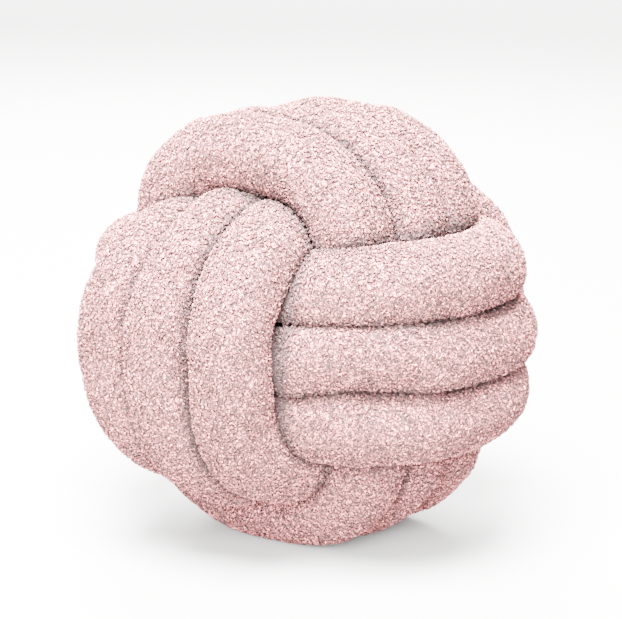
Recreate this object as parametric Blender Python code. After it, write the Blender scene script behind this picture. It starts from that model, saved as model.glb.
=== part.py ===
"""A ball knot cushion: one long stuffed tube of looped-pile cloth, wound in three bands of three
turns that pass over and under each other, with both ends tucked away inside.

Metres, +Z up. The origin is under the middle of the ball, on the surface that it rests on.
Each band runs over the two faces of the ball at the ends of its long axis, and dives under the
next band at the ends of its short axis:
    belt   lies flat, over +X and -X, and under the hoop at +Y and -Y
    hoop   stands up, over +Y and -Y, and under the strap at +Z and -Z
    strap  stands up across it, over +Z and -Z, and under the belt at +X and -X
The tube's centreline is laid out band by band, then settled so that no two turns share a place.
Its cross-section is round, pressed flat wherever a neighbour or the floor is in the way, and is
fuller there in the free directions, because the filling has to go somewhere.
"""
import bpy
import numpy as np

# Driving dimensions, in metres
TURN_PITCH = 0.047          # from one turn of a band to the next
LONG_REACH = 0.113          # from the ball's middle to the centreline where a turn lies on top
SHORT_REACH = 0.0685        # the same where it dives under the next band
OUTER_TURN_SHORTER = 0.009  # the first and last turns of a band reach less far over the ball
TUBE_AREA = 0.00177         # cross-section of the stuffed tube
WIDEST_RADIUS = 0.034       # no part of the tube swells past this
CLOSEST_TURNS = 0.0375      # centrelines pushed together by the knot stay this far apart
CREASE_GAP = 0.0015         # left between two turns that press on each other, where it shows
DEEP_GAP = 0.0045           # the same inside the ball
CREASE_DEPTH = 0.130        # from the ball's middle out to the creases that show
DEEP_DEPTH = 0.100          # from the ball's middle out to where nothing shows
FLOOR_DENT = 0.006          # how much of the ball's lowest turns the floor flattens
ORDER_PULL = 0.030          # how strongly the knot sorts two crossing turns, one over the other
CORE_SWING = 0.141          # how strongly the tube heads inwards between two bands
TAIL_SWING = 0.054          # the same at its two tucked ends
FIRST_END = (0.047, -0.005, 0.021)      # where the two ends are tucked in, to fill the core
LAST_END = (0.025, -0.025, 0.013)
FIRST_END_WAY = (-1.0, 0.05, 0.0)       # the way the tube runs there
LAST_END_WAY = (0.3, 0.5, -1.0)

# Proportions and counts
TURN_SQUARENESS = 2.9       # of a turn's outline: 2 is an ellipse, more is squarer
BEND_SHARE = 0.85           # of a bend's own radius, the most that the tube fills on its inside
PRESSED_SHARPNESS = 12      # how suddenly a cross-section goes from round to pressed flat
TURNS = 3                   # in a band
STRETCH_HALF_ANGLE = 62     # degrees of a turn to each side of a face's middle that show
STRETCH_BLEND = 30          # degrees over which a stray fades in from its end
SHIFT_HALF_ANGLE = 42       # degrees to each side of the place where a turn moves over to the next
FIRST_ANGLE = 112           # degrees, where the first turn of a band comes out of the core
LAST_ANGLE = 1122           # degrees, where the last one goes back into it
ANGLE_STEP = 4
SETTLE_ROUNDS = 40
SETTLE_SMOOTHING = 10

# Mesh size
ROUTE_STEP = 0.012          # between the points of the settled centreline
SHOWN_RING_STEP = 0.0150    # between the rings of points where the tube lies on top
HIDDEN_RING_STEP = 0.022    # the same where it runs under a band or through the core
RING_SIDES = 16
END_ROUNDING = 0.020        # length of the tube's rounded ends

# band: long axis, short axis, stacking axis, how far it leans about X, Y and Z in degrees, and
# how far its middle lies from the ball's in mm
BANDS = {
    "belt": ((1, 0, 0), (0, 1, 0), (0, 0, 1), (-5, -3, 12), (-4, 0, 2)),
    "hoop": ((0, -1, 0), (0, 0, -1), (-1, 0, 0), (6, -1, 2), (2, 2, 2)),
    "strap": ((0, 0, -1), (-1, 0, 0), (0, 1, 0), (6, 0, 12), (-1, -1, 1)),
}

# Where a turn strays from its even place as it lies over a face, in mm: along the stacking axis
# at the low end, middle and high end of the short axis, and outwards
STRAYS = (
    # band, end of the long axis, turn, low end, middle, high end, outwards
    ("belt", 1, 3, 0, 2, -1, 3),
    ("belt", 1, 2, 10, -8, -8, -1),
    ("belt", 1, 1, -6, -6, 8, 2),
    ("hoop", 1, 1, -8, 6, 5, 3),
    ("hoop", 1, 2, 4, -3, 3, 8),
    ("hoop", 1, 3, 13, -11, 4, 4),
    ("strap", -1, 1, -8, 5, -4, -1),
    ("strap", -1, 2, -3, -9, 9, -7),
    ("strap", -1, 3, -8, 3, 11, 3),
    ("strap", 1, 1, -3, 2, 3, -5),
    ("strap", 1, 2, -4, -3, 4, -3),
    ("strap", 1, 3, -2, 2, 9, -1),
    ("belt", -1, 1, 2, -3, 1, 1),
    ("belt", -1, 2, -3, 2, 4, 3),
    ("belt", -1, 3, 4, 3, -2, -1),
    ("hoop", -1, 1, 1, 10, 3, 1),
    ("hoop", -1, 2, 4, 1, -4, 3),
    ("hoop", -1, 3, 1, -4, 3, 1),
)

MM = 0.001
CLOTH_COLOUR = (0.73, 0.57, 0.55, 1.0)


def clear_scene():
    for old in list(bpy.data.objects):
        bpy.data.objects.remove(old, do_unlink=True)


def ease(x):
    """0 up to 0, 1 from 1 on, and a smooth S between."""
    x = np.clip(x, 0, 1)
    return x * x * (3 - 2 * x)


def leaning(points, degrees):
    """The points turned about the ball's middle: about X, then Y, then Z."""
    for axis, angle in enumerate(np.radians(degrees)):
        a, b = (axis + 1) % 3, (axis + 2) % 3
        turned = points.copy()
        turned[:, a] = np.cos(angle) * points[:, a] - np.sin(angle) * points[:, b]
        turned[:, b] = np.sin(angle) * points[:, a] + np.cos(angle) * points[:, b]
        points = turned
    return points


def band_route(name):
    """One band's centreline: three turns of a squared ellipse, each a pitch further along the
    stacking axis. A turn moves over to the next where another band hides it. The fourth column is
    1 where the tube lies on top of the ball and -1 where it is deepest under the next band."""
    long_axis, short_axis, stack_axis, lean, offset = BANDS[name]
    angle = np.arange(FIRST_ANGLE, LAST_ANGLE, ANGLE_STEP)
    place = -1.0
    for turn in range(1, TURNS):
        moved = angle - (90 + 360 * turn) + SHIFT_HALF_ANGLE
        place = place + ease(moved / (2 * SHIFT_HALF_ANGLE))
    long_half = LONG_REACH - OUTER_TURN_SHORTER * place ** 2
    short_half = SHORT_REACH - OUTER_TURN_SHORTER / 4 * place ** 2
    cos, sin = np.cos(np.radians(angle)), np.sin(np.radians(angle))
    power = TURN_SQUARENESS
    reach = (np.abs(cos / long_half) ** power + np.abs(sin / short_half) ** power) ** (-1 / power)
    along, across, stacked = reach * cos, reach * sin, place * TURN_PITCH

    for band, end, turn, low, middle, high, outwards in STRAYS:
        if band != name:
            continue
        face_angle = 360 * turn - (180 if end < 0 else 0)
        from_end = STRETCH_HALF_ANGLE - np.abs(angle - face_angle)
        strength = ease(from_end / STRETCH_BLEND)
        q = np.clip(across * sum(short_axis) / (1.3 * TURN_PITCH), -1, 1)
        sideways = middle + (high - low) / 2 * q + ((high + low) / 2 - middle) * q ** 2
        stacked = stacked + strength * sideways * MM * sum(stack_axis)
        along = along + strength * outwards * MM * np.sign(along) * (1 - q ** 2 / 2)

    route = (along[:, None] * np.array(long_axis) + across[:, None] * np.array(short_axis)
             + stacked[:, None] * np.array(stack_axis))
    route = leaning(route, lean) + np.array(offset) * MM
    return np.column_stack([route, np.cos(2 * np.radians(angle))])


def core_bend(start, start_way, end, end_way, swing, count=12):
    """A cubic through the ball's core, which leaves and arrives along the given ways."""
    t = np.linspace(0, 1, count + 2)[1:-1, None]
    leave = np.array(start_way) / np.linalg.norm(start_way) * swing
    arrive = np.array(end_way) / np.linalg.norm(end_way) * swing
    bend = ((2 * t ** 3 - 3 * t ** 2 + 1) * np.array(start) + (t ** 3 - 2 * t ** 2 + t) * leave
            + (3 * t ** 2 - 2 * t ** 3) * np.array(end) + (t ** 3 - t ** 2) * arrive)
    return np.column_stack([bend, np.full(count, -1.0)])


def lengths_along(points):
    steps = np.linalg.norm(np.diff(points[:, :3], axis=0), axis=1)
    return np.concatenate([[0], np.cumsum(steps)])


def at_lengths(points, wanted):
    """The points that lie at the wanted lengths along a route, with all their columns."""
    have = lengths_along(points)
    return np.stack([np.interp(wanted, have, column) for column in points.T], axis=1)


def evenly(points, step):
    whole = lengths_along(points)[-1]
    return at_lengths(points, np.linspace(0, whole, int(round(whole / step)) + 1))


def whole_route():
    """One end, the three bands' centrelines joined through the core, and the other end."""
    bands = [band_route(name) for name in BANDS]
    opening, closing = bands[0][:, :3], bands[-1][:, :3]
    pieces = [core_bend(FIRST_END, FIRST_END_WAY, opening[0], opening[1] - opening[0], TAIL_SWING)]
    pieces.append(bands[0])
    for after in bands[1:]:
        before = pieces[-1]
        leave, arrive = before[-1] - before[-2], after[1] - after[0]
        pieces.append(core_bend(before[-1, :3], leave[:3], after[0, :3], arrive[:3], CORE_SWING))
        pieces.append(after)
    leave = closing[-1] - closing[-2]
    pieces.append(core_bend(closing[-1], leave, LAST_END, LAST_END_WAY, TAIL_SWING))
    return evenly(np.vstack(pieces), ROUTE_STEP)


def smoothed(values, passes):
    for _ in range(passes):
        padded = np.vstack([values[:1], values, values[-1:]])
        values = padded[:-2] / 4 + padded[1:-1] / 2 + padded[2:] / 4
    return values


def settled(route):
    """The route with turns that lie too close pushed apart, a little at a time, the one that lies
    more on top outwards and the other inwards. The push is smoothed along the tube, which is too
    stout to kink."""
    start, on_top = route[:, :3], route[:, 3]
    place = np.arange(len(route))
    separate = np.abs(place[:, None] - place) * ROUTE_STEP > 1.6 * TURN_PITCH
    order = (on_top[:, None] - on_top) / 2
    moved = start.copy()
    for _ in range(SETTLE_ROUNDS):
        apart = moved[:, None] - moved
        distance = np.linalg.norm(apart, axis=2)
        short_by = np.where(separate, np.maximum(CLOSEST_TURNS - distance, 0), 0)
        outwards = moved[:, None] + moved
        outwards /= np.linalg.norm(outwards, axis=2)[:, :, None] + 1e-9
        way = apart + ORDER_PULL * order[:, :, None] * outwards
        way /= np.linalg.norm(way, axis=2)[:, :, None] + 1e-9
        push = (way * short_by[:, :, None]).sum(axis=1)
        push /= np.maximum((short_by > 0).sum(axis=1), 1)[:, None] ** 0.7
        moved = start + smoothed(moved - start + 0.8 * push, SETTLE_SMOOTHING)
    return moved


def rounded(points, per_step=6):
    """A Catmull-Rom curve through the points."""
    p = np.vstack([2 * points[0] - points[1], points, 2 * points[-1] - points[-2]])
    t = np.linspace(0, 1, per_step, endpoint=False)[None, :, None]
    a, b, c, d = (p[k:len(p) - 3 + k][:, None] for k in range(4))
    curve = (2 * b + (c - a) * t + (2 * a - 5 * b + 4 * c - d) * t ** 2
             + (3 * b - a - 3 * c + d) * t ** 3) / 2
    return np.vstack([curve.reshape(-1, 3), points[-1:]])


def ring_centres(curve):
    """Ring centres along the curve, closer where the tube lies on top of the ball, and closest at
    its rounded ends."""
    fine = evenly(curve, 0.001)
    length = lengths_along(fine)
    on_top = ease((np.linalg.norm(fine, axis=1) - 1.75 * TURN_PITCH) / (0.45 * TURN_PITCH))
    step = HIDDEN_RING_STEP + (SHOWN_RING_STEP - HIDDEN_RING_STEP) * on_top
    from_end = np.minimum(length, length[-1] - length)
    step = np.where(from_end < END_ROUNDING, END_ROUNDING / 5, step)
    rings = np.concatenate([[0], np.cumsum(np.diff(length) / step[1:])])
    wanted = np.interp(np.linspace(0, rings[-1], int(round(rings[-1])) + 1), rings, length)
    return at_lengths(fine, wanted), wanted


def carried_frames(centres):
    """Two directions square to the route at each ring, carried along it without twisting."""
    way = np.gradient(centres, axis=0)
    way /= np.linalg.norm(way, axis=1)[:, None]
    first = np.zeros_like(centres)
    first[0] = np.cross(way[0], (0.3, 0.5, 0.8))
    for k in range(len(centres)):
        if k:
            first[k] = first[k - 1]
        first[k] -= way[k] * (first[k] @ way[k])
        first[k] /= np.linalg.norm(first[k])
    return first, np.cross(way, first)


def room_around(centres, lengths, ways, curve):
    """How far each ring can reach along each of its ways before it meets the plane half-way to
    another stretch of the tube, or, inside a bend, the rings before and after it."""
    others = evenly(curve, 0.006)
    other_lengths = lengths_along(others)
    room = np.full(ways.shape[:2], 9.0)
    for first in range(0, len(centres), 64):
        part = slice(first, first + 64)
        gap = others[None] - centres[part, None]
        squared = (gap ** 2).sum(axis=2)
        separate = np.abs(lengths[part, None] - other_lengths) > 1.3 * TURN_PITCH
        towards = np.einsum("ijc,ikc->ijk", ways[part], gap)
        limit = squared[:, None] / (2 * np.maximum(towards, 1e-6))
        limit = np.where(separate[:, None] & (towards > 1e-6), limit, 9.0)
        room[part] = limit.min(axis=2)
    met = centres[:, None] + np.minimum(room, WIDEST_RADIUS)[..., None] * ways
    shown = ease((np.linalg.norm(met, axis=2) - DEEP_DEPTH) / (CREASE_DEPTH - DEEP_DEPTH))
    room -= (DEEP_GAP + (CREASE_GAP - DEEP_GAP) * shown) / 2

    heading = np.gradient(centres, lengths, axis=0)
    bend = np.gradient(heading / np.linalg.norm(heading, axis=1)[:, None], lengths, axis=0)
    inwards = np.einsum("ijc,ic->ij", ways, bend)
    room = np.minimum(room, BEND_SHARE / np.maximum(inwards, 1e-6))
    return np.maximum(room, 0.002)


def tube_rings(curve):
    """The tube's surface as rings of points, still without its two poles."""
    centres, lengths = ring_centres(curve)
    first, second = carried_frames(centres)
    turn = np.linspace(0, 2 * np.pi, RING_SIDES, endpoint=False)[None, :, None]
    ways = first[:, None] * np.cos(turn) + second[:, None] * np.sin(turn)
    room = room_around(centres, lengths, ways, curve)
    power = -PRESSED_SHARPNESS
    free = np.full((len(centres), 1), np.sqrt(TUBE_AREA / np.pi))
    for _ in range(6):
        radius = (room ** power + free ** power) ** (1 / power)
        area = np.pi * (radius ** 2).mean(axis=1, keepdims=True)
        free = free * (1 + 0.8 * (np.sqrt(TUBE_AREA / area) - 1))
        free = smoothed(np.clip(free, 0.02, WIDEST_RADIUS), 6)
    radius = (room ** power + free ** power) ** (1 / power)
    from_end = np.minimum(lengths, lengths[-1] - lengths) + END_ROUNDING / 10
    dome = np.sqrt(1 - (1 - np.clip(from_end / END_ROUNDING, 0, 1)) ** 2)
    return centres, centres[:, None] + (radius * dome[:, None])[..., None] * ways


def pressed_on_floor(centres, rings):
    """Nothing reaches below the floor: a point under it slides back towards its ring's centre."""
    floor = rings[..., 2].min() + FLOOR_DENT
    below = rings[..., 2] < floor
    drop = centres[:, None, 2] - rings[..., 2]
    share = np.where(below, (centres[:, None, 2] - floor) / np.maximum(drop, 1e-6), 1.0)
    rings = centres[:, None] + (rings - centres[:, None]) * share[..., None]
    rings[..., 2] = np.where(below, floor, rings[..., 2])
    return rings, floor


def tube_faces(ring_count):
    """Quads between neighbouring rings, and a fan of triangles to the pole at each end."""
    ring = np.arange(ring_count - 1)[:, None] * RING_SIDES
    side = np.arange(RING_SIDES)
    after = (side + 1) % RING_SIDES
    quads = np.stack([ring + side, ring + after, ring + after + RING_SIDES,
                      ring + side + RING_SIDES], axis=2).reshape(-1, 4)
    start_pole = ring_count * RING_SIDES
    last = (ring_count - 1) * RING_SIDES
    start_fan = [(start_pole, b, a) for a, b in zip(side.tolist(), after.tolist())]
    end_fan = [(start_pole + 1, last + a, last + b) for a, b in zip(side.tolist(), after.tolist())]
    return quads.tolist() + start_fan + end_fan


def cloth_material():
    material = bpy.data.materials.new("looped_pile")
    material.use_nodes = True
    shader = material.node_tree.nodes["Principled BSDF"]
    shader.inputs["Base Color"].default_value = CLOTH_COLOUR
    shader.inputs["Roughness"].default_value = 0.95
    shader.inputs["Metallic"].default_value = 0.0
    return material


def make_knot_tube():
    curve = rounded(settled(whole_route()))
    centres, rings = tube_rings(curve)
    rings, floor = pressed_on_floor(centres, rings)
    poles = [centres[0], centres[-1]]
    points = np.vstack([rings.reshape(-1, 3), poles])
    low, high = points.min(axis=0), points.max(axis=0)
    points -= ((low[0] + high[0]) / 2, (low[1] + high[1]) / 2, floor)

    mesh = bpy.data.meshes.new("knot_tube")
    mesh.from_pydata(points.tolist(), [], tube_faces(len(centres)))
    mesh.update()
    mesh.shade_smooth()
    tube = bpy.data.objects.new("knot_tube", mesh)
    tube.data.materials.append(cloth_material())
    bpy.context.collection.objects.link(tube)
    size = (high - low - (0, 0, floor - low[2])) / MM
    print("knot_tube: route %.2f m, %d rings, %.0f x %.0f x %.0f mm, %d triangles" % (
        lengths_along(curve)[-1], len(centres), *size, 2 * RING_SIDES * len(centres)))


clear_scene()
make_knot_tube()
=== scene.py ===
# %% [markdown]
# # A ball knot cushion in looped-pile cloth
# The real cushion is one long sewn tube, stuffed and tied into a ball: three bands of three turns,
# each band over one neighbour and under the other. The cloth is a soft, curly looped pile.
# This lesson builds it in four steps: the route of the tube, its cross-section where turns press
# on each other, the curls of the pile, and the finish, the light and the camera.
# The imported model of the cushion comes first. It says where everything goes, in metres.

import bpy
import numpy as np
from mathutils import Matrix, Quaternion, Vector


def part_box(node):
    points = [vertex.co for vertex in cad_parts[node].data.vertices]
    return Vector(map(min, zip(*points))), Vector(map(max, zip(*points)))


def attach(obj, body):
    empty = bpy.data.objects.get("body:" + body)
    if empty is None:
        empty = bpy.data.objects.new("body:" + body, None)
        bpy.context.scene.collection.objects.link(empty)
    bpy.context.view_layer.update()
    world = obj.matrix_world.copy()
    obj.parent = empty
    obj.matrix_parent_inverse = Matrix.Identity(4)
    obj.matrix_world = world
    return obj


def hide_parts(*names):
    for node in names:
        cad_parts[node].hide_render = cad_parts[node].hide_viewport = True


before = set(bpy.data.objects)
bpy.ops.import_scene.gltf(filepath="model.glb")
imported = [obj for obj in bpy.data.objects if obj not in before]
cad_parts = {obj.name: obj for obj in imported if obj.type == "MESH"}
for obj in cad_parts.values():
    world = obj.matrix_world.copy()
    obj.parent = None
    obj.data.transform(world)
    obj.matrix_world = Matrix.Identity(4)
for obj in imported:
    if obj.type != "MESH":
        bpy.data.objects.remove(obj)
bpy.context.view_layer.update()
node_low, node_high = (np.array(corner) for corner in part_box("knot_tube"))
print("the solid knot is %.0f x %.0f x %.0f mm" % tuple((node_high - node_low) * 1000))

# %% [markdown]
# ## The sizes of the knot
# These are the maker's sizes: how thick the tube is, how far apart the turns of a band lie and how
# far each turn reaches over the ball. Nobody ties a knot evenly, so two short tables say how each
# band leans and how each turn strays from its even place. The solid has the same sizes, so the
# cloth lies where the solid does.

# %% Sizes of the knot, in metres
MM = 0.001
TURN_PITCH = 0.047                     # from one turn of a band to the next
LONG_REACH = 0.113                     # from the ball's middle to a turn where it lies on top
SHORT_REACH = 0.0685                   # the same where it lies under the next band
OUTER_TURN_SHORTER = 0.009             # what the outer turns lack of that reach
TURN_SQUARENESS = 2.9                  # 2 is an ellipse, more is squarer
TUBE_AREA = 0.00177                    # the filled section, in square metres
WIDEST_RADIUS = 0.034                  # the most that a pressed tube bulges
CLOSEST_TURNS = 0.0375                 # between the middles of crossing turns
ORDER_PULL = 0.030                     # how firmly the turn on top goes outwards
FLOOR_DENT = 0.006                     # what the floor presses in
CORE_SWING, TAIL_SWING = 0.141, 0.054  # how far the bends in the core swing out
FIRST_END, FIRST_END_WAY = (0.047, -0.005, 0.021), (-1.0, 0.05, 0.0)
LAST_END, LAST_END_WAY = (0.025, -0.025, 0.013), (0.3, 0.5, -1.0)
ROUTE_STEP = 0.012                     # between the points of the laid-out route
SETTLING_LENGTH = 1.6 * TURN_PITCH     # nearer along the tube, two points don't push
PRESSING_LENGTH = 1.3 * TURN_PITCH     # nearer along the tube, the cloth doesn't press

# band: long axis, short axis, stacking axis, lean about X, Y and Z in degrees, middle in mm
BANDS = {
    "belt": ((1, 0, 0), (0, 1, 0), (0, 0, 1), (-5, -3, 12), (-4, 0, 2)),
    "hoop": ((0, -1, 0), (0, 0, -1), (-1, 0, 0), (6, -1, 2), (2, 2, 2)),
    "strap": ((0, 0, -1), (-1, 0, 0), (0, 1, 0), (6, 0, 12), (-1, -1, 1)),
}
STRAYS = (
    # band, end of the long axis, turn, then mm: low end, middle, high end, outwards
    ("belt", 1, 3, 0, 2, -1, 3),
    ("belt", 1, 2, 10, -8, -8, -1),
    ("belt", 1, 1, -6, -6, 8, 2),
    ("hoop", 1, 1, -8, 6, 5, 3),
    ("hoop", 1, 2, 4, -3, 3, 8),
    ("hoop", 1, 3, 13, -11, 4, 4),
    ("strap", -1, 1, -8, 5, -4, -1),
    ("strap", -1, 2, -3, -9, 9, -7),
    ("strap", -1, 3, -8, 3, 11, 3),
    ("strap", 1, 1, -3, 2, 3, -5),
    ("strap", 1, 2, -4, -3, 4, -3),
    ("strap", 1, 3, -2, 2, 9, -1),
    ("belt", -1, 1, 2, -3, 1, 1),
    ("belt", -1, 2, -3, 2, 4, 3),
    ("belt", -1, 3, 4, 3, -2, -1),
    ("hoop", -1, 1, 1, 10, 3, 1),
    ("hoop", -1, 2, 4, 1, -4, 3),
    ("hoop", -1, 3, 1, -4, 3, 1),
)
print("%d bands, %d strays" % (len(BANDS), len(STRAYS)))

# %% [markdown]
# ## The route of one band
# A turn is a squared ellipse: long where it lies over the ball, short where it dives under the
# next band. The three turns of a band are stacked a pitch apart, and the tube moves over from one
# to the next where nobody can see it, under another band.

# %% One band
MOVE_OVER_ANGLES = (450, 810)
BAND_HALF_WIDTH = 1.3 * TURN_PITCH
STRAY_HALF_ANGLE, STRAY_FADE_ANGLE = 62, 30


def ease(x):
    """A smooth S from 0 to 1: three x squared less two x cubed, held at its ends."""
    x = np.clip(x, 0, 1)
    return x * x * (3 - 2 * x)


def leaning(points, degrees):
    """The points turned about the ball's middle, about X, then Y, then Z."""
    for axis, angle in enumerate(np.radians(degrees)):
        a, b = (axis + 1) % 3, (axis + 2) % 3
        turned = points.copy()
        turned[:, a] = np.cos(angle) * points[:, a] - np.sin(angle) * points[:, b]
        turned[:, b] = np.sin(angle) * points[:, a] + np.cos(angle) * points[:, b]
        points = turned
    return points


def band_route(name, first_angle=112, last_angle=1122, angle_step=4, shift_half=42):
    """Squared ellipse: one over the reach, to a power, is the cosine over the long half plus the
    sine over the short half, each to that power. A stray is a parabola through its low end, middle
    and high end. The fourth column is the cosine of twice the angle: 1 on top of the ball, -1
    deepest under the next band."""
    long_axis, short_axis, stack_axis, lean, middle_mm = BANDS[name]
    angle = np.arange(first_angle, last_angle, angle_step)
    place = -1 + sum(ease((angle - at + shift_half) / (2 * shift_half)) for at in MOVE_OVER_ANGLES)
    cos, sin = np.cos(np.radians(angle)), np.sin(np.radians(angle))
    long_half = LONG_REACH - OUTER_TURN_SHORTER * place ** 2
    short_half = SHORT_REACH - OUTER_TURN_SHORTER / 4 * place ** 2
    power = TURN_SQUARENESS
    reach = (np.abs(cos / long_half) ** power + np.abs(sin / short_half) ** power) ** (-1 / power)
    along, across, stacked = reach * cos, reach * sin, place * TURN_PITCH

    for band, end, turn, low, middle, high, outwards in STRAYS:
        if band == name:
            face_angle = 360 * turn - (180 if end < 0 else 0)
            strength = ease((STRAY_HALF_ANGLE - np.abs(angle - face_angle)) / STRAY_FADE_ANGLE)
            q = np.clip(across * sum(short_axis) / BAND_HALF_WIDTH, -1, 1)
            sideways = middle + (high - low) / 2 * q + ((high + low) / 2 - middle) * q ** 2
            stacked = stacked + strength * sideways * MM * sum(stack_axis)
            along = along + strength * outwards * MM * np.sign(along) * (1 - q ** 2 / 2)

    route = np.stack([along, across, stacked], 1) @ np.array([long_axis, short_axis, stack_axis])
    route = leaning(route, lean) + np.array(middle_mm) * MM
    return np.column_stack([route, np.cos(2 * np.radians(angle))])


# %% [markdown]
# ## One tube from end to end
# Cubic bends through the hollow core join the bands, and both ends of the tube are tucked in
# there too. Reading the joined route at even lengths gives a chain of points, which the next
# step can treat like a string of beads.

# %% The whole route
def core_bend(start, start_way, end, end_way, swing, count=12):
    """Hermite cubic: the two places and the two directions, each weighted by its own cubic."""
    t = np.linspace(0, 1, count + 2)[1:-1, None]
    leave = np.array(start_way) / np.linalg.norm(start_way) * swing
    arrive = np.array(end_way) / np.linalg.norm(end_way) * swing
    bend = ((2 * t ** 3 - 3 * t ** 2 + 1) * np.array(start) + (t ** 3 - 2 * t ** 2 + t) * leave
            + (3 * t ** 2 - 2 * t ** 3) * np.array(end) + (t ** 3 - t ** 2) * arrive)
    return np.column_stack([bend, np.full(count, -1.0)])


def lengths_along(points):
    """The running sum of the distances between neighbouring points."""
    steps = np.linalg.norm(np.diff(points[:, :3], axis=0), axis=1)
    return np.concatenate([[0], np.cumsum(steps)])


def at_lengths(points, wanted):
    """Every column of the points, read at the wanted lengths along them."""
    have = lengths_along(points)
    return np.stack([np.interp(wanted, have, column) for column in points.T], axis=1)


def evenly(points, step):
    """The same route with a point at every step of its length."""
    whole = lengths_along(points)[-1]
    return at_lengths(points, np.linspace(0, whole, int(round(whole / step)) + 1))


bands = [band_route(name) for name in BANDS]
opening, closing = bands[0][:, :3], bands[-1][:, :3]
pieces = [core_bend(FIRST_END, FIRST_END_WAY, opening[0], opening[1] - opening[0], TAIL_SWING)]
pieces.append(bands[0])
for after in bands[1:]:
    before = pieces[-1]
    leave, arrive = (before[-1] - before[-2])[:3], (after[1] - after[0])[:3]
    pieces.append(core_bend(before[-1, :3], leave, after[0, :3], arrive, CORE_SWING))
    pieces.append(after)
leave = closing[-1] - closing[-2]
pieces.append(core_bend(closing[-1], leave, LAST_END, LAST_END_WAY, TAIL_SWING))
route = evenly(np.vstack(pieces), ROUTE_STEP)
print("laid out, the tube is %.2f m long, %d points" % (lengths_along(route)[-1], len(route)))

# %% [markdown]
# ## Settling the knot
# Laid out by formula, crossing turns still run through each other. Pulling a real knot tight
# pushes them apart, so every pair of points that lies too close gets a small push, with the turn
# that is more on top going outwards. Smoothing the pushes along the tube keeps it from kinking.

# %% Settling
def smoothed(values, passes):
    """Each value becomes half itself and a quarter of each neighbour, again and again."""
    for _ in range(passes):
        padded = np.concatenate([values[:1], values, values[-1:]])
        values = padded[:-2] / 4 + padded[1:-1] / 2 + padded[2:] / 4
    return values


def settled(route, rounds=40, smoothing=10, crowding=0.7, push_share=0.8):
    """Start plus the smoothed sum of pushes; a push is what two points lack to the least distance."""
    start, on_top = route[:, :3], route[:, 3]
    place = np.arange(len(route))
    separate = np.abs(place[:, None] - place) * ROUTE_STEP > SETTLING_LENGTH
    order = (on_top[:, None] - on_top) / 2
    moved = start.copy()
    for _ in range(rounds):
        apart = moved[:, None] - moved
        distance = np.linalg.norm(apart, axis=2)
        short_by = np.where(separate, np.maximum(CLOSEST_TURNS - distance, 0), 0)
        outwards = moved[:, None] + moved
        outwards /= np.linalg.norm(outwards, axis=2)[:, :, None] + 1e-9
        way = apart + ORDER_PULL * order[:, :, None] * outwards
        way /= np.linalg.norm(way, axis=2)[:, :, None] + 1e-9
        push = (way * short_by[:, :, None]).sum(axis=1)
        push /= np.maximum((short_by > 0).sum(axis=1), 1)[:, None] ** crowding
        moved = start + smoothed(moved - start + push_share * push, smoothing)
    return moved


def rounded(points, per_step=6):
    """Catmull-Rom: each stretch is a cubic through its two points, aimed by the two beyond."""
    p = np.vstack([2 * points[0] - points[1], points, 2 * points[-1] - points[-2]])
    t = np.linspace(0, 1, per_step, endpoint=False)[None, :, None]
    a, b, c, d = (p[k:len(p) - 3 + k][:, None] for k in range(4))
    curve = (2 * b + (c - a) * t + (2 * a - 5 * b + 4 * c - d) * t ** 2
             + (3 * b - a - 3 * c + d) * t ** 3) / 2
    return np.vstack([curve.reshape(-1, 3), points[-1:]])


curve = rounded(settled(route))
print("settled, the tube is %.2f m long and reaches %.0f mm out from the middle"
      % (lengths_along(curve)[-1], np.linalg.norm(curve, axis=1).max() / MM))

# %% [markdown]
# ## Rings along the tube
# The surface is a grid: rings along the tube, points around each ring. Rings lie close together
# where the tube shows and far apart where other turns hide it. Every ring needs two directions
# square to the tube. They are carried along the tube without twisting, then turned gently so that
# the first one faces out of the ball, because the points are to be crowded on the side that shows.

# %% Rings and their directions
SHOWN_RING_STEP = 0.0045
HIDDEN_RING_STEP = 0.0100
END_RING_STEP = 0.0020
HIDDEN_DEPTH, SHOWN_FADE = 1.6 * TURN_PITCH, 0.4 * TURN_PITCH
RING_SIDES = 36
SIDE_CROWDING = 0.35
END_ROUNDING = 0.020
FINE_STEP = 0.001
ANY_SLANT = (0.3, 0.5, 0.8)


def unit(vectors):
    """The vectors at length one."""
    return vectors / (np.linalg.norm(vectors, axis=-1, keepdims=True) + 1e-12)


def ring_lengths(fine):
    """Where the rings lie: their count grows by the length divided by the step wanted there."""
    length = lengths_along(fine)
    on_top = ease((np.linalg.norm(fine, axis=1) - HIDDEN_DEPTH) / SHOWN_FADE)
    step = HIDDEN_RING_STEP + (SHOWN_RING_STEP - HIDDEN_RING_STEP) * on_top
    step = np.where(np.minimum(length, length[-1] - length) < END_ROUNDING, END_RING_STEP, step)
    rings = np.concatenate([[0], np.cumsum(np.diff(length) / step[1:])])
    return np.interp(np.linspace(0, rings[-1], int(round(rings[-1])) + 1), rings, length)


def ring_directions(centres, out_smoothing=12, turn_smoothing=60):
    """Carried: each direction is the last one less its part along the tube. Then both turn by the
    angle, smoothed along the tube, that the way out of the ball makes with the carried first."""
    way = unit(np.gradient(centres, axis=0))
    first = np.zeros_like(centres)
    first[0] = unit(np.cross(way[0], ANY_SLANT))
    for k in range(1, len(centres)):
        first[k] = unit(first[k - 1] - way[k] * (first[k - 1] @ way[k]))
    second = np.cross(way, first)
    out = np.stack([(centres * first).sum(axis=1), (centres * second).sum(axis=1)], axis=1)
    out = smoothed(out, out_smoothing)
    turn = smoothed(np.unwrap(np.arctan2(out[:, 1], out[:, 0])), turn_smoothing)[:, None]
    return (first * np.cos(turn) + second * np.sin(turn),
            second * np.cos(turn) - first * np.sin(turn))


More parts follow.
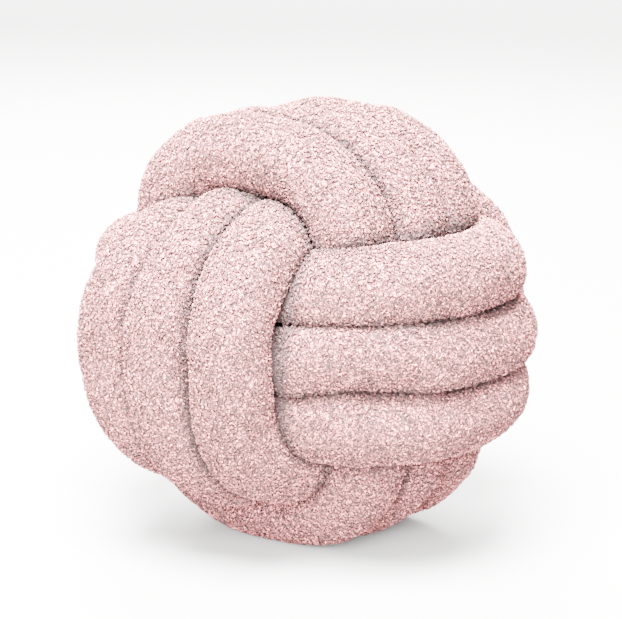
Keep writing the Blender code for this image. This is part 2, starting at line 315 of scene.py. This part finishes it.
fine = evenly(curve, FINE_STEP)
lengths = ring_lengths(fine)
centres = at_lengths(fine, lengths)
outward, sideward = ring_directions(centres)
share = np.linspace(-1, 1, RING_SIDES, endpoint=False)
around = np.pi * share - SIDE_CROWDING * np.sin(np.pi * share)
ways = (outward[:, None] * np.cos(around)[None, :, None]
        + sideward[:, None] * np.sin(around)[None, :, None])
print("%d rings of %d points" % (len(centres), RING_SIDES))

# %% [markdown]
# ## Pressed cross-sections
# A stuffed tube is round until something is in its way. Half-way to every other stretch of the
# tube there is an invisible plane that it can't cross, so the distance to the nearest such plane
# is how far the cloth may reach in each direction. The smaller of that and a free radius, blended
# softly, is the section, and the free radius grows until the section holds all of the filling.
# The solid has the size of cushion and pile together, so where nothing presses on the cloth, it
# lies a pile's depth inside, and the curls that are added later reach out to the full size.
# Creases open up deep in the knot, in the cloth about a centimetre deeper than in the solid,
# because an open crease shows as a black slit.

# %% The section of every ring
CREASE_GAP = 0.0015
DEEP_GAP = 0.0045
CREASE_DEPTH = 0.118
DEEP_DEPTH = 0.090
PRESSED_SHARPNESS = 12
BEND_SHARE, BEND_SMOOTHING = 0.85, 8
PILE_DEPTH = 0.0013
FREE_AT = 0.10
PRESSING_STEP = 0.004
PRESSING_REACH = 0.110
NARROWEST_RADIUS, LEAST_ROOM = 0.020, 0.002
NO_LIMIT = 9.0
RINGS_AT_ONCE = 48


def room_around(centres, lengths, ways):
    """Room in a direction: the squared distance to another stretch of the tube, divided by twice
    its part along that direction, and no more than a share of the radius of the tube's own bend."""
    others = evenly(curve, PRESSING_STEP)
    other_lengths = lengths_along(others)
    room = np.full(ways.shape[:2], NO_LIMIT)
    for first in range(0, len(centres), RINGS_AT_ONCE):
        part = slice(first, first + RINGS_AT_ONCE)
        gap = others[None] - centres[part, None]
        squared = (gap ** 2).sum(axis=2)
        separate = np.abs(lengths[part, None] - other_lengths) > PRESSING_LENGTH
        near = (np.sqrt(squared.min(axis=0)) < PRESSING_REACH) & separate.any(axis=0)
        gap, squared, separate = gap[:, near], squared[:, near], separate[:, near]
        towards = np.matmul(ways[part], gap.transpose(0, 2, 1))
        limit = squared[:, None] / (2 * np.maximum(towards, 1e-6))
        limit = np.where(separate[:, None] & (towards > 1e-6), limit, NO_LIMIT)
        room[part] = limit.min(axis=2)
    met = centres[:, None] + np.minimum(room, WIDEST_RADIUS)[..., None] * ways
    shown = ease((np.linalg.norm(met, axis=2) - DEEP_DEPTH) / (CREASE_DEPTH - DEEP_DEPTH))
    room -= (DEEP_GAP + (CREASE_GAP - DEEP_GAP) * shown) / 2
    heading = unit(np.gradient(centres, lengths, axis=0))
    bend = smoothed(np.gradient(heading, lengths, axis=0), BEND_SMOOTHING)
    inwards = np.einsum("ijc,ic->ij", ways, bend)
    room = np.minimum(room, BEND_SHARE / np.maximum(inwards, 1e-6))
    return np.maximum(room, LEAST_ROOM)


def filled_sections(room, lengths, rounds=6, scaled_by=0.8, smoothing=40):
    """One over the radius, to a high power, is one over the room plus one over the free radius, each
    to that power. The free radius is scaled until the area, half the mean squared radius times the
    full turn, is the tube's. A quarter of an ellipse closes each end."""
    power = -PRESSED_SHARPNESS
    free = np.full((len(room), 1), np.sqrt(TUBE_AREA / np.pi))
    girth = np.gradient(np.append(around, around[0] + 2 * np.pi))[:-1] / (2 * np.pi)
    for _ in range(rounds):
        radius = (room ** power + free ** power) ** (1 / power)
        area = np.pi * (radius ** 2 * girth).sum(axis=1, keepdims=True)
        free = free * (1 + scaled_by * (np.sqrt(TUBE_AREA / area) - 1))
        free = smoothed(np.clip(free, NARROWEST_RADIUS, WIDEST_RADIUS), smoothing)
    radius = (room ** power + free ** power) ** (1 / power)
    from_end = np.minimum(lengths, lengths[-1] - lengths) + END_ROUNDING / 10
    return radius * np.sqrt(1 - (1 - np.clip(from_end / END_ROUNDING, 0, 1)) ** 2)[:, None]


room = room_around(centres, lengths, ways)
radius = filled_sections(room, lengths)
rings = centres[:, None] + radius[..., None] * ways
unpressed = ease((room / radius - 1) / FREE_AT)
cloth_radius = radius - PILE_DEPTH * np.minimum(unpressed, radius / END_ROUNDING)
skin = centres[:, None] + cloth_radius[..., None] * ways
print("the tube is %.0f mm across on average" % (2 * radius.mean() / MM))

# %% [markdown]
# ## Where the knot stands
# The lowest turns are flattened by the floor: a point that would reach below it slides back
# towards the middle of its ring. Then the whole knot moves to the solid's own place.

# %% On the floor
def pressed_on_floor(centres, rings, floor):
    """Share: the height of the ring's middle over the floor, divided by how far the point drops."""
    below = rings[..., 2] < floor
    drop = centres[:, None, 2] - rings[..., 2]
    share = np.where(below, (centres[:, None, 2] - floor) / np.maximum(drop, 1e-6), 1.0)
    rings = centres[:, None] + (rings - centres[:, None]) * share[..., None]
    rings[..., 2] = np.where(below, floor, rings[..., 2])
    return rings


floor = rings[..., 2].min() + FLOOR_DENT
middle = (rings.reshape(-1, 3).min(axis=0) + rings.reshape(-1, 3).max(axis=0)) / 2
to_row = np.append((node_low + node_high)[:2] / 2 - middle[:2], -floor)
rings = pressed_on_floor(centres, skin, floor) + to_row
centres = centres + to_row
ball_middle = to_row
print("the ball's middle is %.1f mm over the floor" % (ball_middle[2] / MM))

# %% [markdown]
# ## The stuffed cloth
# Fibre filling is never quite even, so the cloth carries soft lumps a finger wide and small dents
# between them. A noise made of random values on a lattice, blended smoothly between its points,
# pushes each point in or out along its own direction. The lumps fade at the floor.

# %% Soft lumps
# height, width and seed of the broad lumps and of the small dents
LUMPS = ((0.0011, 0.022, 3), (0.0007, 0.011, 5))
STANDING_HEIGHT = 0.004
LATTICE_WIDTH = 0.4


def lattice_noise(points, size, seed):
    """-1 to 1: random values on a cubic lattice of that size, blended by the smooth S on each axis."""
    cells = int(LATTICE_WIDTH / size) + 3
    values = np.random.default_rng(seed).uniform(-1, 1, (cells, cells, cells))
    place = (points - points.reshape(-1, 3).min(axis=0)) / size
    corner = place.astype(int)
    blend = ease(place - corner)
    total = 0
    for step in np.ndindex(2, 2, 2):
        weight = np.prod(np.where(step, blend, 1 - blend), axis=-1)
        total = total + weight * values[tuple((corner + step)[..., axis] for axis in range(3))]
    return total


def lumpy(rings):
    """Outwards along each point's way by two sizes of noise, less at the floor."""
    lumps = sum(height * lattice_noise(rings, width, seed) for height, width, seed in LUMPS)
    standing = ease(rings[..., 2] / STANDING_HEIGHT)
    moved = rings + (lumps * standing)[..., None] * ways
    moved[..., 2] = np.maximum(moved[..., 2], 0)
    return moved


smooth_rings = rings
rings = lumpy(smooth_rings)
print("the lumps move the cloth by up to %.1f mm"
      % (np.linalg.norm(rings - smooth_rings, axis=2).max() / MM))

# %% [markdown]
# ## From a grid to a mesh
# Quads join neighbouring rings, and a fan closes each end of the tube. The whole table of faces
# comes from array arithmetic, so forty thousand faces take no longer to write down than eight.

# %% The tube as a mesh
def set_values(mesh, name, values):
    """One number for every point of the mesh, under a name that the material reads."""
    mesh.attributes.new(name, "FLOAT", "POINT").data.foreach_set("value", values)


def new_piece(name, points, faces, attributes=()):
    """A smooth-shaded object at the origin, with its place in its mesh, on the knot's only body."""
    mesh = bpy.data.meshes.new(name)
    mesh.from_pydata(points, [], faces)
    for attribute, values in attributes:
        set_values(mesh, attribute, values)
    mesh.update()
    mesh.shade_smooth()
    piece = bpy.data.objects.new(name, mesh)
    bpy.context.collection.objects.link(piece)
    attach(piece, "root")
    return piece


def tube_faces(ring_count):
    """Quads between neighbouring rings, and triangles to a pole at each end."""
    ring = np.arange(ring_count - 1)[:, None] * RING_SIDES
    side = np.arange(RING_SIDES)
    after = (side + 1) % RING_SIDES
    quads = np.stack([ring + side, ring + after, ring + after + RING_SIDES,
                      ring + side + RING_SIDES], axis=2).reshape(-1, 4)
    pole, last = ring_count * RING_SIDES, (ring_count - 1) * RING_SIDES
    start_fan = np.stack([np.full(RING_SIDES, pole), after, side], axis=1)
    end_fan = np.stack([np.full(RING_SIDES, pole + 1), last + side, last + after], axis=1)
    return quads.tolist() + start_fan.tolist() + end_fan.tolist()


tube_points = np.vstack([rings.reshape(-1, 3), centres[:1], centres[-1:]])
tube = new_piece("stuffed_tube", tube_points, tube_faces(len(rings)))
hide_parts("knot_tube")
print("stuffed_tube: %d triangles" % sum(face.loop_total - 2 for face in tube.data.polygons))

# %% [markdown]
# ## Which cloth can be seen
# Much of the cloth is hidden inside the knot, where curls would be wasted. From a sample of points
# on the tube, rays look out in nine directions. A ray that passes close to the middle of any other
# stretch is blocked. The share of rays that get away says how exposed the cloth is.

# %% Exposure
RAY_SPOKES, RAY_TILT = 8, 50
BLOCKING_RADIUS, BLOCKING_START = 0.019, 0.004
ANY_OTHER_SLANT = (0.3, 0.5, 0.81)
MIDDLE_STEP = 0.012
RING_SKIP, SIDE_SKIP = 4, 2
BATCHES = 40
LEAST_EXPOSURE = 0.05


def exposure_at(points, middles):
    """Share of nine rays, one straight out of the ball and eight tilted round it, that clear every
    middle point: the distance from a point to a ray is the far side of a right triangle."""
    out = unit(points - ball_middle)
    first = unit(np.cross(out, ANY_OTHER_SLANT))
    second = np.cross(out, first)
    free_rays = np.zeros(len(points))
    for spoke in range(RAY_SPOKES + 1):
        tilt = np.radians(RAY_TILT if spoke else 0)
        turn = np.radians(360 / RAY_SPOKES * spoke)
        ray = out * np.cos(tilt) + (first * np.cos(turn) + second * np.sin(turn)) * np.sin(tilt)
        gap = middles[None] - points[:, None]
        ahead = np.einsum("ijc,ic->ij", gap, ray)
        beside = (gap ** 2).sum(axis=2) - ahead ** 2
        blocked = (ahead > BLOCKING_START) & (beside < BLOCKING_RADIUS ** 2)
        free_rays += ~blocked.any(axis=1)
    return free_rays / (RAY_SPOKES + 1)


def widened(values):
    """The largest of each value and its neighbours in the ring, so that no edge is left bare."""
    return np.maximum(values, np.maximum(np.roll(values, 1, axis=1), np.roll(values, -1, axis=1)))


middles = evenly(curve, MIDDLE_STEP) + to_row
sampled = rings[::RING_SKIP, ::SIDE_SKIP]
batches = np.array_split(sampled.reshape(-1, 3), BATCHES)
exposure = np.concatenate([exposure_at(batch, middles) for batch in batches])
exposure = widened(exposure.reshape(sampled.shape[:2]))
print("%.0f%% of the sampled points are exposed" % (100 * (exposure > LEAST_EXPOSURE).mean()))

# %% [markdown]
# ## Reading the cloth between its points
# A curl may grow anywhere on the cloth, so places, ways and shades have to be read between the
# points of the grid. Each place is a ring number and a side number with fractions.

# %% Reading the grid
def grid_read(grid, row, column):
    """Blend of the four grid values round each place, the columns wrapping round the tube."""
    r, c = np.clip(row.astype(int), 0, len(grid) - 2), column.astype(int)
    fr, fc = row - r, column - c
    if grid.ndim == 3:
        fr, fc = fr[:, None], fc[:, None]
    wide = grid.shape[1]
    near = grid[r, c % wide] * (1 - fc) + grid[r, (c + 1) % wide] * fc
    far = grid[r + 1, c % wide] * (1 - fc) + grid[r + 1, (c + 1) % wide] * fc
    return near * (1 - fr) + far * fr


def grid_ways(rings):
    """Along: the step to the next ring. Normal: across the steps round the tube and along it."""
    along = np.gradient(rings, axis=0)
    round_step = np.roll(rings, -1, axis=1) - np.roll(rings, 1, axis=1)
    return unit(np.cross(round_step, along)), unit(along)


normals, alongs = grid_ways(rings)
print("ways out of the cloth and along it at %d points" % normals[..., 0].size)

# %% [markdown]
# ## Where the curls grow
# The loops of the pile stand in rows round the tube, like the stitches that hold them, but each
# has wandered a little. A row only counts the cloth that can be seen and isn't pressed against a
# neighbour, and stretched cloth on the outside of a bend gets more curls than the inside, so the
# pile is equally dense everywhere.

# %% Roots of the curls
ROW_SPACING = 0.00203
CURL_SPACING = 0.00249
CURL_ROOM = 1.004
WANDER = 0.42
LEAST_STRETCH, MOST_STRETCH = 0.5, 1.6
RESTING_HEIGHT, RESTING_SLANT = 0.0003, -0.8
LAST_INSIDE = 1.001
SEED = 11
draw = np.random.default_rng(SEED)


def cloth_weights():
    """Weight of a grid step: its length round the tube, times how far the cloth there is stretched
    against the centreline, and nothing where it is hidden, pressed or resting on the floor."""
    ring_at, side_at = np.indices(rings.shape[:2]).reshape(2, -1).astype(float)
    seen = grid_read(exposure, np.minimum(ring_at / RING_SKIP, len(exposure) - LAST_INSIDE),
                     side_at / SIDE_SKIP).reshape(rings.shape[:2])
    resting = (rings[..., 2] < RESTING_HEIGHT) & (normals[..., 2] < RESTING_SLANT)
    shown = (seen > LEAST_EXPOSURE) & (room / radius > CURL_ROOM) & ~resting
    girth = np.linalg.norm(np.roll(rings, -1, axis=1) - rings, axis=2)
    stretch = (np.linalg.norm(np.gradient(rings, axis=0), axis=2)
               / np.linalg.norm(np.gradient(centres, axis=0), axis=1)[:, None])
    stretch = np.clip(stretch, LEAST_STRETCH, MOST_STRETCH)
    return girth * stretch * (shown & np.roll(shown, -1, axis=1))


def curl_places(weight):
    """A row's curls lie at even shares of its summed weight, every other row half a curl further
    on, and each wanders along the tube and round it."""
    sums = np.hstack([np.zeros((len(rings), 1)), np.cumsum(weight, axis=1)])
    row_count = int(lengths[-1] / ROW_SPACING)
    row_place = np.interp((np.arange(row_count) + 0.5) / row_count * lengths[-1], lengths,
                          np.arange(len(lengths)))
    in_row = (sums[row_place.astype(int), -1] / CURL_SPACING + 0.5).astype(int)
    row = np.repeat(np.arange(row_count), in_row)
    turn_in_row = np.arange(len(row)) - np.repeat(np.cumsum(in_row) - in_row, in_row)
    wander = draw.uniform(-WANDER, WANDER, (2, len(row)))
    along_ring = np.clip(row_place[row] + wander[0] * ROW_SPACING / SHOWN_RING_STEP,
                         0, len(rings) - LAST_INSIDE)
    share = ((turn_in_row + 0.5 * (row % 2) + wander[1]) / in_row[row]) % 1
    own = sums[row_place[row].astype(int)]
    wanted = share * own[:, -1]
    side = np.minimum((own[:, 1:] <= wanted[:, None]).sum(axis=1), RING_SIDES - 1)
    each = np.arange(len(side))
    step = np.maximum(own[each, side + 1] - own[each, side], 1e-9)
    return along_ring, side + np.clip((wanted - own[each, side]) / step, 0, 0.999)


ring_place, side_place = curl_places(cloth_weights())
root = grid_read(rings, ring_place, side_place)
normal = unit(grid_read(normals, ring_place, side_place))
along = unit(grid_read(alongs, ring_place, side_place))
print("%d curls, one for every %.1f square mm" % (len(root), 1e6 * ROW_SPACING * CURL_SPACING))

# %% [markdown]
# ## One curl, many thousand times
# A loop of the pile is a short soft arch, bent sideways into a C, with both feet in the cloth and
# a dark pit in its crook. Each is a chain of two small rings between two points, twelve
# triangles in all, and every one has its own size, turn, lean and height. As arrays, the first
# axis is the curl and the second the place along it, so all the curls are worked out at once.

# %% Curls
CURL_STATIONS = np.array([0.0, 0.31, 0.69, 1.0])
CURL_SIDES = 3
BOW_RADII = (0.0009, 0.0014)
SWEEP_ANGLES = (130, 220)
CURL_HEIGHTS = (0.0007, 0.0017)
YARN_RADII = (0.00080, 0.00110)
LEAN_SPREAD = 0.00045
FOOT_DEPTH = 0.0004
# Painted shade: below the first height a curl keeps the deep grey of painted shade, and over the rise
# it turns to the lit colour.
TIP_START, TIP_RISE = 0.0003, 0.0014


def curl_points(root, normal, along):
    """Middle line: a circle's arc in plan, half an ellipse in height. Its two inner places carry a
    three-sided ring each: the way up and the way beside, by the cosine and the sine of a turn."""
    count = len(root)
    bow = draw.uniform(*BOW_RADII, (count, 1))
    sweep = np.radians(draw.uniform(*SWEEP_ANGLES, (count, 1)))
    height = draw.uniform(*CURL_HEIGHTS, (count, 1))
    thick = draw.uniform(*YARN_RADII, (count, 1))
    facing = draw.uniform(0, 2 * np.pi, (count, 1))
    lean = draw.normal(0, LEAN_SPREAD, (count, 2))

    s = CURL_STATIONS[None]
    angle = facing + sweep * (s - 0.5)
    arch = np.sqrt(1 - (2 * s - 1) ** 2)
    x = bow * np.cos(angle) + lean[:, :1] * arch
    y = bow * np.sin(angle) + lean[:, 1:] * arch
    z = height * arch - FOOT_DEPTH
    line = np.stack([x, y, z], axis=2)

    way = unit(np.gradient(line, axis=1))[:, 1:-1]
    up = unit(np.array([0.0, 0.0, 1.0]) - way * way[..., 2:])
    beside = np.cross(way, up)
    turn = np.radians(360 / CURL_SIDES * np.arange(CURL_SIDES))
    size = thick[:, :, None, None]
    ring = (up[:, :, None] * np.cos(turn)[None, None, :, None]
            + beside[:, :, None] * np.sin(turn)[None, None, :, None])
    ring = line[:, 1:-1, None] + size * ring
    local = np.concatenate([line[:, :1], ring.reshape(count, -1, 3), line[:, -1:]], axis=1)

    across = np.cross(normal, along)
    world = (root[:, None] + local[..., :1] * along[:, None] + local[..., 1:2] * across[:, None]
             + local[..., 2:] * normal[:, None])
    # Painted lightness: 0 at the feet, in painted shade, rising to 1 high on the curl.
    painted_lightness = np.clip((local[..., 2] - TIP_START) / TIP_RISE, 0, 1)
    return world, painted_lightness


def curl_faces(count):
    """One curl's faces, with each further curl's numbers a curl's points higher."""
    side = np.arange(CURL_SIDES)
    after = (side + 1) % CURL_SIDES
    last = 1 + CURL_SIDES
    walls = np.stack([1 + side, 1 + after, last + after, last + side], axis=1)
    end = last + CURL_SIDES
    start_fan = np.stack([np.zeros_like(side), 1 + after, 1 + side], axis=1)
    end_fan = np.stack([np.full_like(side, end), last + side, last + after], axis=1)
    steps = (np.arange(count) * (end + 1))[:, None, None]
    return ((walls[None] + steps).reshape(-1, 4).tolist()
            + (np.vstack([start_fan, end_fan])[None] + steps).reshape(-1, 3).tolist())


points, painted_lightness = curl_points(root, normal, along)
print("each curl has %d points" % points.shape[1])

# %% [markdown]
# ## Floor, creases and shades
# Curls that would reach below the floor are squeezed flat above it. Where a neighbour presses on
# the cloth, little light gets in, so the curls there get painted shade: they count as low ones,
# whose colour is the deep grey of painted shade.

# %% Squeezed and shaded curls
SQUEEZE_HEIGHT = 0.0003
# Painted shade in creases: the share of lightness left where a neighbour presses, and how far from
# contact it has opened fully.
PAINTED_CREASE_SHADE = 0.08
OPEN_AT = 0.21
CLOTH_PAINTED_LIGHTNESS, CLOTH_SHADE = 0.6, 0.5


def squeezed(heights):
    """Below a small height, that height times e to the power of the share of it less one: never
    under the floor, and joined smoothly to the heights above."""
    share = np.minimum(heights / SQUEEZE_HEIGHT, 1)
    return np.where(heights < SQUEEZE_HEIGHT, SQUEEZE_HEIGHT * np.exp(share - 1), heights)


points[..., 2] = squeezed(points[..., 2])
# Painted shade in the creases: where a neighbour presses, the curls' lightness falls to a small share.
painted_crease_lightness = PAINTED_CREASE_SHADE + (1 - PAINTED_CREASE_SHADE) * ease((room / radius - 1) / OPEN_AT)
painted_lightness = painted_lightness * grid_read(painted_crease_lightness, ring_place, side_place)[:, None]
shade = draw.uniform(0, 1, len(root))
print("the lowest point of the curls is %.4f mm over the floor" % (points[..., 2].min() / MM))

# %% [markdown]
# ## Six patches of pile
# The curls are joined into six pieces, one for each face of the ball, so that no piece is too
# heavy to print or to edit. The face is the axis along which a curl lies farthest from the middle.
# The bare cloth between the curls carries the same two values as they do.

# %% Six patches of pile
FACES = ("left", "right", "front", "back", "under", "top")
from_middle = root - ball_middle
axis = np.abs(from_middle).argmax(axis=1)
ahead = from_middle[np.arange(len(root)), axis] > 0
patches = []
for k, name in enumerate(FACES):
    mine = (axis == k // 2) & (ahead == bool(k % 2))
    patch = new_piece("pile_" + name, points[mine].reshape(-1, 3), curl_faces(mine.sum()),
                      (("painted_lightness", painted_lightness[mine].ravel()),
                       ("shade", np.repeat(shade[mine], points.shape[1]))))
    patches.append(patch)
    print("%s: %d curls" % (patch.name, mine.sum()))
# The bare cloth gets a middle painted lightness, with painted shade deep in the creases.
set_values(tube.data, "painted_lightness", np.append(CLOTH_PAINTED_LIGHTNESS * painted_crease_lightness.ravel(), (0, 0)))
set_values(tube.data, "shade", np.full(len(tube_points), CLOTH_SHADE))

# %% [markdown]
# ## Building a material from nodes
# A material is a small tree of nodes, each with settings and inputs. The first helper makes a node
# and fills them in by name. The others make what the pile needs more than once: a node that
# stretches one range of values to another, a noise, and a product of two values.

# %% Node helpers
def node(tree, kind, **values):
    """A new shader node, with its settings and its inputs by name."""
    made = tree.nodes.new(kind)
    for name, value in values.items():
        if name in made.inputs:
            made.inputs[name].default_value = value
        else:
            setattr(made, name, value)
    return made


def stretched(tree, low, high, to_low=0.0, to_high=1.0, **settings):
    """Low becomes to_low, high becomes to_high, and what lies between keeps its share."""
    return node(tree, "ShaderNodeMapRange", **{"From Min": low, "From Max": high,
                                               "To Min": to_low, "To Max": to_high}, **settings)


def object_noise(tree, scale, **settings):
    """A noise that is read at the object's own place, so that it never slides."""
    noise = node(tree, "ShaderNodeTexNoise", Scale=scale, **settings)
    tree.links.new(node(tree, "ShaderNodeTexCoord").outputs["Object"], noise.inputs["Vector"])
    return noise.outputs["Fac"]


def product(tree, first, second):
    """Two values multiplied."""
    times = node(tree, "ShaderNodeMath", operation="MULTIPLY")
    tree.links.new(first, times.inputs[0])
    tree.links.new(second, times.inputs[1])
    return times.outputs["Value"]


print("helpers for nodes, ranges, noises and products")

# %% [markdown]
# ## Dusty pink looped pile
# Looped pile is matt, soft and darker between the loops, where light is lost. That shade is painted
# into the colour: the height up each curl picks it between the deep warm grey of painted shade at
# the roots and the pale pink of the cloth. The finest loops are too many to be mesh: a noise is
# folded at its middle, which leaves thin winding valleys, and these get painted shade in the colour
# and press the surface in by bump. Every curl is a shade of its own, and broad patches follow the
# way the pile has been stroked. A little sheen softens the edges.

# %% The pile's material
# The deep grey is painted shade at the roots of the curls, in creases and in the valleys of the loops;
# the pale pink is the cloth's own colour.
PAINTED_SHADE_GREY = (0.055, 0.040, 0.039, 1)
PALE_PINK = (0.95, 0.280, 0.273, 1)
SHEEN_PINK = (1.0, 0.85, 0.84, 1)
LOOP_SCALE, VALLEY_WIDTH, LOOP_DEPTH = 480.0, 0.130, 0.0024
STROKED_SCALE, STROKED_NOISE, STROKED_VALUES = 38.0, (0.3, 0.7), (0.93, 1.03)
CURL_VALUES = (0.90, 1.06)
FIBRE_SCALE, FIBRE_DEPTH = 1500.0, 0.0003


def loop_height(tree):
    """The distance of a noise from its middle value, a half, up to the width of a valley."""
    curly = object_noise(tree, LOOP_SCALE, Detail=1.5, Roughness=0.5, Distortion=0.6)
    from_half = node(tree, "ShaderNodeMath", operation="SUBTRACT")
    from_half.inputs[1].default_value = 0.5
    tree.links.new(curly, from_half.inputs[0])
    ridge = node(tree, "ShaderNodeMath", operation="ABSOLUTE")
    tree.links.new(from_half.outputs["Value"], ridge.inputs[0])
    loops = stretched(tree, 0, VALLEY_WIDTH, interpolation_type="SMOOTHSTEP")
    tree.links.new(ridge.outputs["Value"], loops.inputs["Value"])
    return loops.outputs["Result"]


def pile_colour(tree, loops):
    """From the deep grey of painted shade to the pale pink of the cloth by the painted lightness,
    which rises up the curl and falls in creases, times the height of the loops, whose valleys get
    painted shade; then brightened by the stroked patches times the curl's own shade."""
    painted_lightness = node(tree, "ShaderNodeAttribute", attribute_name="painted_lightness")
    own_shade = node(tree, "ShaderNodeAttribute", attribute_name="shade")
    colour = node(tree, "ShaderNodeMix", data_type="RGBA")
    # Painted shade: the deep grey where the factor is low, at the feet of the curls, in creases and in
    # the valleys of the loops.
    colour.inputs["A"].default_value = PAINTED_SHADE_GREY
    colour.inputs["B"].default_value = PALE_PINK
    tree.links.new(product(tree, painted_lightness.outputs["Fac"], loops), colour.inputs["Factor"])

    stroked = stretched(tree, *STROKED_NOISE, *STROKED_VALUES)
    tree.links.new(object_noise(tree, STROKED_SCALE, Detail=3.0, Roughness=0.6),
                   stroked.inputs["Value"])
    curl_value = stretched(tree, 0, 1, *CURL_VALUES)
    tree.links.new(own_shade.outputs["Fac"], curl_value.inputs["Value"])
    tinted = node(tree, "ShaderNodeHueSaturation")
    tree.links.new(colour.outputs["Result"], tinted.inputs["Color"])
    tree.links.new(product(tree, stroked.outputs["Result"], curl_value.outputs["Result"]),
                   tinted.inputs["Value"])
    return tinted.outputs["Color"]


def pile_bump(tree, loops):
    """The loops pressed in over the fibres, which are a noise of their own."""
    fibres = node(tree, "ShaderNodeBump", Strength=0.5, Distance=FIBRE_DEPTH)
    tree.links.new(object_noise(tree, FIBRE_SCALE, Detail=2.0, Roughness=0.7),
                   fibres.inputs["Height"])
    looped = node(tree, "ShaderNodeBump", Strength=1.0, Distance=LOOP_DEPTH)
    tree.links.new(loops, looped.inputs["Height"])
    tree.links.new(fibres.outputs["Normal"], looped.inputs["Normal"])
    return looped.outputs["Normal"]


pile = bpy.data.materials.new("dusty_pink_looped_pile")
pile.use_nodes = True
shader = pile.node_tree.nodes["Principled BSDF"]
for name, value in (("Roughness", 0.92), ("Specular IOR Level", 0.1), ("Sheen Weight", 0.03),
                    ("Sheen Roughness", 0.6), ("Sheen Tint", SHEEN_PINK)):
    shader.inputs[name].default_value = value
loops = loop_height(pile.node_tree)
pile.node_tree.links.new(pile_colour(pile.node_tree, loops), shader.inputs["Base Color"])
pile.node_tree.links.new(pile_bump(pile.node_tree, loops), shader.inputs["Normal"])
for piece in [tube] + patches:
    piece.data.materials.append(pile)
print("%s: %d nodes" % (pile.name, len(pile.node_tree.nodes)))

# %% [markdown]
# ## Floor and light
# A pale floor runs into a pale world. One broad soft light hangs overhead, a weaker one stands in
# front, a third behind lights the rim, and the last keeps the far floor as pale as the room.

# %% Floor and light
FLOOR_SIZE, FLOOR_DROP = 12, 0.0002
FLOOR_GREY = (0.31, 0.31, 0.304, 1)
ROOM_WHITE, ROOM_STRENGTH = (1.0, 0.995, 0.98, 1), 2.7
LIGHTS = (
    # name, place, what it points at, width in metres, watts
    ("overhead", (0.40, -0.65, 1.95), ball_middle, 1.2, 1780),
    ("front", (1.3, -1.55, 1.0), ball_middle, 1.5, 640),
    ("rim", (-1.3, 0.9, 1.5), ball_middle, 1.2, 850),
    ("backdrop", (-3.2, 3.0, 3.2), (-4.2, 3.9, 0), 3.0, 2400),
)


def pale_floor():
    """A wide plane just under the knot."""
    bpy.ops.mesh.primitive_plane_add(size=FLOOR_SIZE, location=(0, 0, -FLOOR_DROP))
    plane = bpy.context.object
    plane.name = "floor"
    material = bpy.data.materials.new("pale_floor")
    material.use_nodes = True
    shader = material.node_tree.nodes["Principled BSDF"]
    shader.inputs["Base Color"].default_value = FLOOR_GREY
    shader.inputs["Roughness"].default_value = 0.9
    shader.inputs["Specular IOR Level"].default_value = 0.1
    plane.data.materials.append(material)


def soft_light(name, place, aim, size, watts):
    """A square area light at a place, turned towards its aim."""
    light = bpy.data.lights.new(name, "AREA")
    light.size = size
    light.energy = watts
    lamp = bpy.data.objects.new(name, light)
    lamp.location = place
    lamp.rotation_euler = (Vector(aim) - Vector(place)).to_track_quat("-Z", "Y").to_euler()
    bpy.context.collection.objects.link(lamp)


pale_floor()
for light in LIGHTS:
    soft_light(*light)
world = bpy.data.worlds.new("pale_room")
world.use_nodes = True
world.node_tree.nodes["Background"].inputs["Color"].default_value = ROOM_WHITE
world.node_tree.nodes["Background"].inputs["Strength"].default_value = ROOM_STRENGTH
bpy.context.scene.world = world
print("%d lights" % len(LIGHTS))

# %% [markdown]
# ## The camera
# It stands one and a half metres away with a long lens, so the ball looks round. The lens and the
# shift follow from how large the ball is in the picture and where its middle lies there.

# %% Camera
IMAGE_WIDTH, IMAGE_HEIGHT = 622, 619
PIXELS_PER_METRE = 1516.4
BALL_MIDDLE_PIXEL = (308.2, 323.3)
CAMERA_AZIMUTH, CAMERA_ELEVATION, CAMERA_ROLL = 47.8, 14.2, 1.0
CAMERA_DISTANCE = 1.504
SENSOR = 36.0

azimuth, elevation = np.radians([CAMERA_AZIMUTH, CAMERA_ELEVATION])
back = Vector((np.sin(azimuth) * np.cos(elevation), -np.cos(azimuth) * np.cos(elevation),
               np.sin(elevation)))
camera = bpy.data.cameras.new("camera")
camera.sensor_width = SENSOR
camera.lens = SENSOR * CAMERA_DISTANCE * PIXELS_PER_METRE / IMAGE_WIDTH
camera.shift_x = (IMAGE_WIDTH / 2 - BALL_MIDDLE_PIXEL[0]) / IMAGE_WIDTH
camera.shift_y = (BALL_MIDDLE_PIXEL[1] - IMAGE_HEIGHT / 2) / IMAGE_WIDTH
viewer = bpy.data.objects.new("camera", camera)
viewer.rotation_mode = "QUATERNION"
viewer.rotation_quaternion = ((-back).to_track_quat("-Z", "Y")
                              @ Quaternion((0, 0, 1), np.radians(CAMERA_ROLL)))
viewer.location = Vector(ball_middle) + back * CAMERA_DISTANCE
bpy.context.collection.objects.link(viewer)
bpy.context.scene.camera = viewer
print("lens %.0f mm" % camera.lens)

# %% [markdown]
# ## The end
# The last line brings the scene up to date. The cloth may stand only a little proud of the
# solid.

# %% Finish
bpy.context.view_layer.update()
